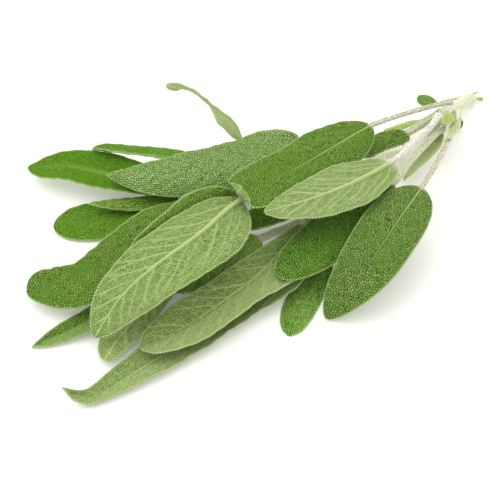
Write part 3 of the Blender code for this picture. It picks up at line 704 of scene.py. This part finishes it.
# Points run from the stalk's foot to the tip. roll is 0 with the upper side up and 180 with the
# under side up. fold lifts the halves of a blade towards its upper side, and curl bends them on
# towards the margin, in degrees. lopsided widens a half. A pair is for the (left, right) half.
# A lightened half is painted light, standing in for the light that the half catches.
leaves = [
    dict(
        name="leaf_long_low", seed=1,
        stalk=[(22, -13.3, 8.2), (14, -22, 6), (5, -31, 6)],
        rib=[
            (-8, -34, 4.5), (-20.5, -33.5, 3), (-31.5, -33, 1.5), (-54.5, -35.5, 1),
            (-74, -38, 0.6), (-87, -39, 0.6), (-91.5, -37.5, 2.5), (-94.5, -35.5, 7),
        ],
        width=15, widest=0.42, stalkWidth=1.6, tip=sharpTip,
        roll=[180], fold=[-12], curl=[-12],
        paintedLightHalf=(0, 0.22), veinGap=5.5, veinShown=0.2, veinHeight=0.06,
        underColours={"ground": "#586c2f", "net": "#abc07e"},
    ),
    dict(
        name="leaf_pale_folded", seed=2,
        stalk=[(12, -16, 9.4)],
        rib=[
            (1, -19, 9), (-8.5, -23, 7.5), (-21, -27.5, 6.5), (-34, -30.5, 6),
            (-45.5, -32.5, 5.5), (-57, -33.5, 5), (-67, -33, 4.5),
        ],
        width=21, widest=0.5, stalkWidth=1.6, tip=bluntTip, base=bluntBase,
        roll=[180], fold=([-24], [-6, -14]),
        lopsided=([0.5, 0.74, 0.95], [1.9, 1.08, 0.82, 0.9, 0.95]),
        paintedLightHalf=(0, 0.3), veinGap=8, veinShown=0.6,
        underColours={"ground": "#4b6025", "net": "#a1b671"},
    ),
    dict(
        name="leaf_pale_broad", seed=3,
        stalk=[(19.5, -10.3, 11.7), (10, -7.5, 14.3), (-0.5, -7, 15.5)],
        rib=[
            (-14.5, -6, 17.5), (-34, -12.5, 18.5), (-54, -16.5, 17), (-66, -19, 13.5),
            (-78, -24.5, 8),
        ],
        width=25, widest=0.42, stalkWidth=2.2, tip=roundTip,
        roll=[180], fold=[4], curl=[-10], lopsided=([0.92, 0.92, 1.02], [1.3, 1.06, 1.05]),
        veinGap=7, veinLean=1.5,
    ),
    dict(
        name="leaf_pale_short", seed=4,
        stalk=[(67, -2.4, 11.3), (62.5, -4.9, 12), (49, -12, 16)],
        rib=[(37.5, -18, 19.5), (18.5, -22, 22.5), (1.5, -21, 22.5), (-13, -17, 21)],
        width=19, widest=0.45, stalkWidth=2.4, tip=roundTip, base=narrowBase,
        roll=[180], fold=[2], curl=[-6],
        baseFade=7, veinGap=6, veinLean=1.9, veinShown=0.75, woolly=True,
        underColours={"ground": "#60733a", "net": "#a4b87d", "patch": "#819456"},
        stalkColours=("#eceadf", "#aeab97", "#bdb7a1"),
    ),
    dict(
        name="leaf_blunt_tip", seed=5,
        stalk=[(77.5, 5, 8), (58.5, 4.5, 12)],
        rib=[
            (41.5, 2.5, 16), (24, -1.5, 18.5), (4.5, -5, 20), (-9, -5.3, 20.6),
            (-15.5, -6, 21.2),
        ],
        width=21, widest=0.5, stalkWidth=1.8, tip=squareTip, base=bluntBase,
        fold=([0], [8]), curl=([-30, -26, 0], [-15]),
        lopsided=([1, 1, 1.05], [1, 1, 0.85]),
        cell=0.22, hem=3.0, ribShown=0.9, ribReach=0.75, woolly=True,
        stalkColours=("#dcd8c6", "#96907a", "#8f8468"),
    ),
    dict(
        name="leaf_pebbled_back", seed=6,
        stalk=[(36, 4, 6.5), (28, 4.5, 10.5)],
        rib=[(19, 11.5, 13), (-3, 12, 14.5), (-24, 18.5, 14), (-44.5, 32.5, 11)],
        width=22, widest=0.36, stalkWidth=1.6, tip=sharpTip, base=bluntBase,
        fold=([0], [8]), curl=([-45], [-15]), lopsided=([1, 1, 1.15], [1, 0.88, 0.9]),
        cell=0.22, bumps=1.1, ribShown=0,
        colours={"paintedShadeGroove": "#2c4c10", "bump": "#b0cc82", "patch": "#6d923c"},
    ),
    dict(
        name="leaf_twisted_back", seed=7,
        stalk=[(26, 7, 5.6), (21, 11.5, 7), (13, 21.5, 8.5)],
        rib=[(3.5, 24, 11), (0.4, 27.3, 17), (-4.2, 33.2, 23.5), (-8.5, 38, 28), (-16, 41.5, 31)],
        width=7.2, widest=0.35, stalkWidth=1, tip=bluntTip,
        roll=[-120, -105, -62, -52, -95], fold=[10], lopsided=([0.6, 0.5, 1], [1.1, 1.2, 1]),
        paintedLightHalf=(0.3, 0.3), woolly=True,
        underColours={"ground": "#8fa05f", "net": "#dbe4b9", "patch": "#bccb92"},
    ),
    dict(
        name="leaf_edge_back", seed=8,
        stalk=[(9, 9.5, 6.5), (4.5, 13, 6.5)],
        rib=[(-10.5, 25, 6.5), (-20, 32.2, 7), (-31.5, 40, 8.2), (-42.2, 48.2, 8.9)],
        width=8.8, widest=0.38, stalkWidth=1.2, tip=bluntTip,
        roll=[-20], fold=[20],
        look="smooth", colours={"paintedShadeGroove": "#406a16", "bump": "#83ab4a"}, ribShown=0,
    ),
    dict(
        name="leaf_far_left", seed=9,
        stalk=[(-1, 9, 8.2), (-10.5, 8.5, 8.5)],
        rib=[(-20.5, 13.5, 8), (-32.5, 25, 7), (-43.5, 38, 6.5), (-52.5, 48, 6), (-63.5, 56, 4)],
        width=19, widest=0.6, stalkWidth=1.4, tip=roundTip,
        fold=[8], lopsided=([0.8, 0.8, 1.1], [1.1, 0.92, 0.75]),
        # its wide pale midrib line is partly the vein's own colour and partly a painted highlight,
        # a soft sheen streak along the midrib
        look="smooth", bumps=0.6, ribShown=0.85, ribReach=1, ribGroove=0, ribLine=0.9,
    ),
    dict(
        name="leaf_left_upper", seed=10,
        stalk=[(-1.5, 8.2, 4.1), (-9, 6.5, 3.3)],
        rib=[(-24.5, 12.5, 2.5), (-37, 18, 2), (-50, 22.5, 1.4), (-67, 29, 1)],
        width=19, widest=0.62, stalkWidth=1.4, tip=bluntTip,
        curl=[-10], lopsided=([1, 0.85, 0.85], [1]),
        look="smooth", bumps=0.7, ribShown=0, colours={"bump": "#79a53a"},
    ),
    dict(
        name="leaf_left_narrow", seed=11,
        stalk=[(-6.7, 11.4, 5.5)],
        rib=[(-19.5, 13, 5), (-31.5, 16.5, 5.5), (-42, 21.5, 5.5), (-53.5, 29, 5)],
        width=9, widest=0.5, stalkWidth=1.2, tip=sharpTip,
        curl=[-30], lopsided=([0.6], [1]),
        ribShown=0, colours={"paintedShadeGroove": "#305205", "bump": "#9dbd55"},
    ),
    dict(
        name="leaf_left_broad", seed=12,
        stalk=[(2, 7.5, 8), (-6.5, 3.5, 9)],
        rib=[
            (-20, 4.5, 9), (-35.5, 4, 9), (-52, 0.5, 8), (-67, 0, 6.5), (-78, 2, 5),
            (-86.8, 6.7, 4),
        ],
        width=24, widest=0.55, stalkWidth=1.6, tip=squareTip,
        fold=[6], curl=[-10],
        lopsided=([1, 1, 1, 0.95, 0.6], [1, 1, 1, 0.95, 0.88, 0.76, 0.6, 0.7, 0.95]),
        cell=0.22, ribShown=0,
    ),
    dict(
        name="leaf_cupped", seed=13,
        stalk=[(9, 5.8, 8.1), (6.5, 1, 8.6), (0, -1.5, 12)],
        rib=[(-12, 0.3, 12), (-27.5, -0.9, 11.8), (-44, -3.4, 10.5), (-60, -7, 9)],
        width=19, widest=0.4, stalkWidth=1.6, tip=roundTip,
        fold=([8], [75, 60, 60, 72, 68, 60, 50]),
        bumps=0.6, ribShown=0, colours={"paintedShadeGroove": "#325607", "bump": "#a8c963"},
    ),
    dict(
        name="leaf_left_low", seed=14,
        stalk=[(-30.2, -13.2, 3), (-38, -11.5, 2.7)],
        rib=[(-48.5, -11, 2), (-63, -11.5, 1.5), (-77.5, -12, 0.7), (-94.5, -12.5, 0.7)],
        width=12, widest=0.5, stalkWidth=1.2, tip=sharpTip,
        fold=[10], lopsided=([1.05], [0.68]),
        paintedLightHalf=(0.22, 0), ribShown=0.1, colours={"bump": "#98b55f"},
    ),
    dict(
        name="leaf_pale_small", seed=15,
        stalk=[(-24.5, -11, 3.6), (-26.5, -7.8, 4.6), (-30.5, -6.8, 6.2), (-38, -12, 7.8)],
        rib=[(-46.5, -18, 7), (-56.5, -19.5, 5), (-67.5, -23.5, 3.5), (-78, -30, 2.5)],
        width=12, widest=0.6, stalkWidth=1.2, tip=bluntTip,
        roll=[180], lopsided=([1], [1, 0.9, 0.7]),
        underColours={"ground": "#667c33", "net": "#c3d78f", "patch": "#96aa5f", "vein": "#cfdda4"},
    ),
    dict(
        name="leaf_dark_inner", seed=16,
        stalk=[(-7.5, -15, 7)],
        rib=[(-13.5, -15.5, 7.5), (-27.5, -16.5, 6.5), (-39, -17.5, 5), (-47.5, -18, 4)],
        width=14, widest=0.35, stalkWidth=1.2, tip=roundTip, base=bluntBase,
        curl=[-10],
        # painted light: colours set lighter than the other leaves' to make up for the shade this
        # leaf lies in
        colours={"paintedShadeGroove": "#527a1a", "bump": "#c8e588", "patch": "#7ba42f"}, ribShown=0,
    ),
    dict(
        name="leaf_right_inner", seed=17,
        stalk=[(65.5, -5.6, 9), (46.5, -15, 12)],
        rib=[
            (33.5, -22.5, 14), (18, -26, 13.5), (4, -29.5, 12), (-7.5, -31.5, 10.5),
            (-18, -33.5, 9.5),
        ],
        width=19, widest=0.55, stalkWidth=2.4, tip=bluntTip,
        fold=[4], curl=([-40], [-10]), lopsided=([1, 0.93, 0.85], [1, 1, 0.82]),
        colours={"paintedShadeGroove": "#1f4403", "bump": "#83ab49"}, ribShown=0.1, woolly=True,
        stalkColours=("#dfe2cc", "#a9b084", "#bdb898"),
    ),
    dict(
        name="leaf_right_broad", seed=18,
        stalk=[(76, -2.4, 6), (57.5, -17.5, 12)],
        rib=[
            (38.5, -31, 17), (25, -38.5, 17.5), (6, -47.5, 13), (-4.5, -49.5, 6),
            (-10, -50, 0.6),
        ],
        width=21, widest=0.48, stalkWidth=1.9, tip=roundTip, base=bluntBase,
        roll=[10], fold=[4], curl=[-12], lopsided=([1, 0.88, 0.84], [1]),
        cell=0.22, ribShown=0.9, ribReach=0.6, woolly=True,
        colours={"paintedShadeGroove": "#1f3c03", "bump": "#98b264"},
        stalkColours=("#d8d5c3", "#9b9275", "#a18f71"),
    ),
    dict(
        name="leaf_front_small", seed=19,
        stalk=[(17.5, -13.7, 7.2), (16, -19, 4.5), (13.5, -25, 2)],
        rib=[(5, -29.5, 1.5), (-5.5, -36, 1), (-13.5, -41.5, 0.6), (-23.5, -49.5, 0.5)],
        width=13, widest=0.55, stalkWidth=1.2, tip=bluntTip,
        fold=[-22], lopsided=([0.85], [1]),
        ribShown=0.3, colours={"paintedShadeGroove": "#315c09", "bump": "#a8cb6c"},
    ),
    dict(
        name="leaf_base_dark", seed=20,
        stalk=[(73, 3.5, 6.5), (65, 1.5, 8)],
        rib=[(55.5, -0.4, 8.3), (50.2, -1, 8.5), (45.8, -0.8, 8.5), (40, -0.6, 8.2), (33, -1, 8)],
        width=12.5, widest=0.35, stalkWidth=2.1, tip=roundTip, base=bluntBase,
        fold=[-4], curl=[-20], lopsided=([0.72], [1.1]),
        ribShown=0, woolly=True, stalkColours=("#d9dcc4", "#94a06c", "#a3a880"),
    ),
    dict(
        name="leaf_base_round", seed=21,
        stalk=[(85.2, 8.4, 3.6), (79.5, 8.5, 4.5)],
        rib=[(75.5, 8.5, 5.5), (72.6, 10.3, 6.5), (69, 12.6, 7)],
        width=6.2, widest=0.62, stalkWidth=0.9, tip=bluntTip, base=narrowBase,
        bumps=0.5, ribShown=0, woolly=True, colours={"paintedShadeGroove": "#4d6d2b", "bump": "#86a35c"},
    ),
    dict(
        name="leaf_base_yellow", seed=22,
        stalk=[(69, 3.5, 5.3)],
        rib=[(64.5, 4.3, 5.6), (60.2, 5, 5.8), (56.1, 5.6, 5.8), (51, 6.8, 5.5)],
        width=2.8, widest=0.5, stalkWidth=0.9,
        look="yellow", bumps=0.3, colours={"bump": "#ccd88a", "patch": "#bac873"},
    ),
    dict(
        name="leaf_base_narrow", seed=23,
        stalk=[(69.5, -3.3, 6.6)],
        rib=[
            (67.3, -5.2, 6.4), (61.8, -8.2, 6), (56, -10.4, 5.5), (50, -12.4, 5),
            (44, -15.5, 4),
        ],
        width=5, widest=0.4, stalkWidth=1,
        bumps=0.4, ribShown=0, woolly=True,
        colours={"paintedShadeGroove": "#8d9c5c", "bump": "#c3cf9b", "patch": "#a9b97c"},
        stalkColours=("#dde2cc", "#a4b183", "#b3bb93"),
    ),
    dict(
        name="leaf_hidden_inner", seed=24,
        stalk=[(13.5, -11.4, 10.5)],
        rib=[(5.5, -10.5, 11), (-3, -11, 11.5), (-11.5, -10.5, 11), (-18.5, -10, 10)],
        width=11, widest=0.5, stalkWidth=1.2,
        look="dark", ribShown=0, colours={"bump": "#92b84d"},
    ),
    dict(
        name="leaf_young", seed=25,
        stalk=[(74.2, -0.3, 9.7)],
        rib=[(72.4, -2.2, 10.8), (68.8, -5.5, 12.1), (65.2, -8, 13)],
        width=4.2, widest=0.5, stalkWidth=0.9,
        look="yellow", bumps=0.4, ribShown=0.2, colours={"paintedShadeGroove": "#84923f", "bump": "#b3c070"},
    ),
    dict(
        name="leaf_young_woolly", seed=26,
        stalk=[(76.3, -1.8, 9.3)],
        rib=[(73.4, -5.3, 10.1), (69.9, -8.6, 10.8), (66.3, -10.9, 11.5), (62.9, -12.8, 12.2)],
        width=3.6, widest=0.5, stalkWidth=1,
        bumps=0.6, ribShown=0, rimColour="#e2e8d2", woolly=True,
        colours={"paintedShadeGroove": "#959c66", "bump": "#d8dab2", "patch": "#bcc18e"},
        stalkColours=("#e6ead8", "#b0bd93", "#bcc6a3"),
    ),
]

for leaf in leaves:
    piece = growLeaf(leaf)
    finishPiece(piece, leafMaterial(leaf), leaf["name"])
print(len(leaves), "leaves grown")


# Stems, with their wool. A path's fourth number is the stem's radius there.
stems = [
    {
        "name": "main_stem", "seed": 101, "hairs": 2000, "hairLength": 0.8,
        "path": [(89.8, 7, 2.1, 2.1), (83.5, 4.5, 4.5, 2), (75.5, 1, 6.6, 2.2)],
    },
    {
        "name": "shoot_front", "seed": 102, "hairs": 6500, "hairLength": 0.8,
        "path": [
            (72, -1, 7.8, 1.3), (62, -4.3, 9.2, 1.1), (50, -7.9, 10.6, 1.1),
            (39, -7.5, 10.8, 1.1), (20, -11.5, 9.5, 1.3), (2, -15.5, 7, 1.3),
            (-13, -13, 4, 1.3), (-29.5, -13.5, 3, 1.2),
        ],
    },
    {
        "name": "shoot_back", "seed": 103, "hairs": 2600, "hairLength": 0.6,
        "path": [
            (73.5, 3.5, 3.6, 1.2), (67, 4, 3, 1.2), (55, 3, 3, 1.2), (38.5, 3.5, 4, 1.2),
            (15.5, 6, 6, 1.2), (-2, 10, 6, 1.2), (-6, 11.3, 5.6, 1.1),
        ],
    },
]
stemMesh = {
    "step": 0.8,  # from one ring to the next
    "woolRoom": 0.1,  # how far the skin lies under the path's radius
    "bevels": 6,
    "weld": 0.001,
}
wool = {
    "thick": 0.075,  # drawn several times a real hair's thickness, so that it shows
    "bend": 0.6,
    "sides": 3,
    "lean": 0.6,  # spread along the stem
    "vary": (0.5, 1.2),  # shortest and longest, against the length given
    "sunk": 0.14,  # depth of a root
    "lowest": 0.02,
    "perMm": 26,  # hairs on each mm of a leaf stalk
    "stalkHair": 0.5,
    "stalkFlat": 0.6,  # a stalk is flatter than it is wide
}


def addHairs(name, roots, directions, lengths, seed):
    # each hair is a thin closed cone, bent over towards its tip
    draw = np.random.RandomState(seed)
    count = len(roots)
    sides = wool["sides"]
    first = unit(np.cross(directions, draw.normal(size=(count, 3))))
    second = np.cross(directions, first)
    lean = draw.uniform(0, 2 * math.pi, count)
    sway = first * np.cos(lean)[:, None] + second * np.sin(lean)[:, None]
    rings = []
    for level, width in ((0, 1), (0.4, 0.85), (0.75, 0.6)):
        centre = roots + directions * (lengths * level)[:, None]
        centre = centre + sway * (lengths * wool["bend"] * level**2)[:, None]
        for corner in range(sides):
            angle = 2 * math.pi * corner / sides
            spoke = first * math.cos(angle) + second * math.sin(angle)
            rings.append(centre + spoke * wool["thick"] / 2 * width)
    tips = roots + directions * lengths[:, None] * 0.9 + sway * (lengths * wool["bend"])[:, None]
    rings.append(tips)
    points = np.stack(rings, axis=1).reshape(-1, 3)
    points[:, 2] = np.maximum(points[:, 2], wool["lowest"])
    faces = [tuple(range(sides))[::-1]]
    for ring in range(2):
        for corner in range(sides):
            following = (corner + 1) % sides
            low, high = ring * sides, (ring + 1) * sides
            faces.append((low + corner, low + following, high + following, high + corner))
    for corner in range(sides):
        faces.append((2 * sides + corner, 2 * sides + (corner + 1) % sides, 3 * sides))
    each = 3 * sides + 1
    allFaces = [
        tuple(index + each * hair for index in face) for hair in range(count) for face in faces
    ]
    mesh = bpy.data.meshes.new(name)
    mesh.from_pydata((points * mm).tolist(), [], allFaces)
    piece = bpy.data.objects.new(name, mesh)
    bpy.context.scene.collection.objects.link(piece)
    return piece


def woolAlong(name, path, count, length, seed, node, flat=1.0):
    # hairs all round a path of (x, y, z, radius)
    draw = np.random.RandomState(seed)
    places, run = smoothPath(path)
    where = draw.uniform(0, run[-1], count)
    centre = onPath(where, run, places)
    ahead = unit(onPath(where, run, np.gradient(places[:, :3], run, axis=0)))
    beside = unit(np.cross(ahead, (0, 0, 1)))
    above = np.cross(beside, ahead)
    turn = draw.uniform(0, 2 * math.pi, count)[:, None]
    outward = beside * np.cos(turn) + above * np.sin(turn) * flat
    roots = centre[:, :3] + outward * (centre[:, 3:] - wool["sunk"])
    directions = unit(outward + ahead * draw.normal(0, wool["lean"], count)[:, None])
    lengths = length * draw.uniform(*wool["vary"], count)
    hairs = addHairs(name, roots, directions, lengths, seed)
    finishPiece(hairs, whiteWool, node, standsFor=False)


def stemMaterial(name, ground, pale, tuft):
    # felted wool or dry skin: matt, with a soft bright edge, and mottled. tuft is the size of
    # the mottling in mm, coarser than real wool so that it shows.
    material, tree, shader = newMaterial(name, {
        "Roughness": 0.85,
        "Sheen Weight": 0.3,
        "Sheen Roughness": 0.6,
        "Sheen Tint": linear("#f4f4ea"),
        "Subsurface Weight": 0.2,
        "Subsurface Radius": (1.0, 0.9, 0.6),
        "Subsurface Scale": 0.6 * mm,
    })
    place = addNode(tree, "ShaderNodeTexCoord").outputs["Object"]
    felt = addNode(
        tree, "ShaderNodeTexNoise",
        values={"Scale": 1 / (tuft * mm), "Detail": 4}, links={"Vector": place},
    )
    share = addNode(
        tree, "ShaderNodeMapRange", values={"From Min": 0.35, "From Max": 0.65},
        links={"Value": felt.outputs["Fac"]},
    ).outputs["Result"]
    tree.links.new(mixColours(tree, share, ground, pale), shader.inputs["Base Color"])
    bump = addNode(
        tree, "ShaderNodeBump", values={"Strength": 0.6, "Distance": 0.2 * mm},
        links={"Height": felt.outputs["Fac"]},
    )
    tree.links.new(bump.outputs["Normal"], shader.inputs["Normal"])
    return material


# green skin shows a little through a stem's wool, and the hairs themselves are nearly white
woollyStem = stemMaterial("sage stem under white wool", "#b3b88c", "#e5e6ca", 0.667)
whiteWool = stemMaterial("white plant wool", "#e8e9d4", "#f5f5e8", 1.11)

for stem in stems:
    places, run = smoothPath(stem["path"])
    stops = onPath(np.linspace(0, run[-1], int(run[-1] / stemMesh["step"])), run, places)
    bpy.ops.curve.primitive_bezier_curve_add()
    piece = bpy.context.object
    curve = piece.data
    curve.splines.clear()
    spline = curve.splines.new("POLY")
    spline.points.add(len(stops) - 1)
    for point, (x, y, z, radius) in zip(spline.points, stops):
        point.co = (x * mm, y * mm, z * mm, 1)
        point.radius = radius - stemMesh["woolRoom"]
    curve.bevel_depth = mm
    curve.bevel_resolution = stemMesh["bevels"]
    curve.use_fill_caps = True
    bpy.ops.object.convert(target="MESH")
    piece.name = stem["name"] + "_look"
    bpy.ops.object.mode_set(mode="EDIT")
    bpy.ops.mesh.select_all(action="SELECT")
    bpy.ops.mesh.remove_doubles(threshold=stemMesh["weld"] * mm)
    bpy.ops.mesh.normals_make_consistent(inside=False)
    bpy.ops.object.mode_set(mode="OBJECT")
    bpy.ops.object.shade_smooth()
    finishPiece(piece, woollyStem, stem["name"])
    woolAlong(
        stem["name"] + "_wool", stem["path"], stem["hairs"], stem["hairLength"],
        stem["seed"], stem["name"],
    )
print("stems made")

for leaf in leaves:
    if leaf.get("woolly"):
        # the stalk's own wool, up to where the blade begins
        half = leaf["stalkWidth"] / 2
        path = [(*point, half) for point in leaf["stalk"] + leaf["rib"][:1]]
        length = smoothPath(path)[1][-1]
        woolAlong(
            leaf["name"] + "_wool", path, int(length * wool["perMm"]), wool["stalkHair"],
            leaf["seed"] + 200, leaf["name"], flat=wool["stalkFlat"],
        )
print("stalks have their wool")


# The joint where both shoots and the lowest stalks meet is a lump of matted wool.
joint = {
    "place": (74.6, 0.8, 6.3), "size": (8, 6, 5), "lumps": 0.14,
    "hairs": 2600, "hairLength": 1.0, "vary": (0.4, 1.2), "spread": 0.5, "sunk": 0.05,
}
bpy.ops.mesh.primitive_ico_sphere_add(subdivisions=5, radius=0.5 * mm)
piece = bpy.context.object
piece.name = "joint_wool_lump"
flat = np.empty(len(piece.data.vertices) * 3)
piece.data.vertices.foreach_get("co", flat)
outward = unit(flat.reshape(-1, 3))
lumps = np.sin(outward[:, 0] * 5 + 1) * np.sin(outward[:, 1] * 6 + 2)
lumps = lumps + 0.6 * np.sin(outward @ (7, -5, 6) * 1.6)
swell = (1 + joint["lumps"] * lumps)[:, None]
places = np.array(joint["place"]) + outward * np.array(joint["size"]) / 2 * swell
piece.data.vertices.foreach_set("co", (places * mm).ravel())
piece.data.update()
bpy.ops.object.shade_smooth()
finishPiece(piece, woollyStem, "main_stem", standsFor=False)
draw = np.random.RandomState(300)
picked = draw.randint(0, len(places), joint["hairs"])
directions = unit(outward[picked] + draw.normal(0, joint["spread"], (joint["hairs"], 3)))
hairs = addHairs(
    "joint_wool", places[picked] - outward[picked] * joint["sunk"], directions,
    joint["hairLength"] * draw.uniform(*joint["vary"], joint["hairs"]), 301,
)
finishPiece(hairs, whiteWool, "main_stem", standsFor=False)
print("joint made")


# The bare cut end with a thin broken twig beside it, and the dry bud on its short stalk.
woodEnds = [
    {
        "name": "stem_cut_end_look", "node": "stem_cut_end", "standsFor": True,
        "from": (90.4, 7.2, 1.75), "to": (93.7, 5.2, 1.2), "radius": 0.75,
    },
    {
        "name": "broken_twig_look", "node": "stem_cut_end", "standsFor": False,
        "from": (89.3, 8.4, 3.1), "to": (93, 7.5, 3.1), "radius": 0.35,
    },
    {
        "name": "bud_stalk_look", "node": "dry_bud", "standsFor": False,
        "from": (79.2, -1.4, 2.85), "to": (79, 1.4, 4.6), "radius": 0.3,
    },
]
wornRim = 0.13  # of an end's radius
# young wood without its wool: yellow green, matt and finely streaked
bareWood = stemMaterial("bare sage wood", "#9aa35e", "#c2c489", 1.43)
for end in woodEnds:
    start, stop = (np.array(end[key]) for key in ("from", "to"))
    axis = stop - start
    bpy.ops.mesh.primitive_cylinder_add(
        vertices=24,
        radius=end["radius"] * mm,
        depth=np.linalg.norm(axis) * mm,
        location=tuple((start + stop) / 2 * mm),
        rotation=(0, math.acos(axis[2] / np.linalg.norm(axis)), math.atan2(axis[1], axis[0])),
    )
    piece = bpy.context.object
    piece.name = end["name"]
    bpy.ops.object.transform_apply(location=True, rotation=True, scale=True)
    bevel = piece.modifiers.new("worn rim", "BEVEL")
    bevel.width = end["radius"] * wornRim * mm
    bevel.segments = 2
    bpy.ops.object.modifier_apply(modifier="worn rim")
    bpy.ops.object.shade_smooth()
    finishPiece(piece, bareWood, end["node"], end["standsFor"])

bud = {
    "place": (78.3, -2.2, 2.2), "size": (3.2, 1.5, 1.5), "turn": (0, -24, 32),
    "scales": 5, "ridge": 0.1, "taper": 0.45, "lap": 0.16, "spiral": 2.5,
}
bpy.ops.mesh.primitive_uv_sphere_add(
    segments=60, ring_count=24, radius=0.5 * mm, rotation=(0, math.pi / 2, 0)
)
piece = bpy.context.object
piece.name = "dry_bud_look"
bpy.ops.object.transform_apply(location=True, rotation=True, scale=True)
flat = np.empty(len(piece.data.vertices) * 3)
piece.data.vertices.foreach_get("co", flat)
places = flat.reshape(-1, 3)
# its scales lap over one another in a spiral, and it narrows to its tip
toTip = places[:, 0] / mm + 0.5
angle = np.arctan2(places[:, 2], places[:, 1])
lap = 0.5 + 0.5 * np.sin(2 * math.pi * toTip * bud["spiral"] + angle)
ridge = np.cos(bud["scales"] * angle)
girth = (1 - bud["taper"] * toTip**2) * (1 + bud["ridge"] * ridge)
girth = girth - bud["lap"] * lap * (1 - toTip)
places[:, 1:] *= girth[:, None]
piece.data.vertices.foreach_set("co", (places * bud["size"]).ravel())
piece.data.update()
piece.location = [c * mm for c in bud["place"]]
piece.rotation_euler = [math.radians(angle) for angle in bud["turn"]]
bpy.ops.object.transform_apply(location=True, rotation=True, scale=True)
bpy.ops.object.shade_smooth()
# a dried bud's scales are papery: dull brown, mottled lighter and darker
finishPiece(piece, stemMaterial("dry brown bud scale", "#4a2f14", "#7d5528", 0.833), "dry_bud")
print("cut end and bud made")
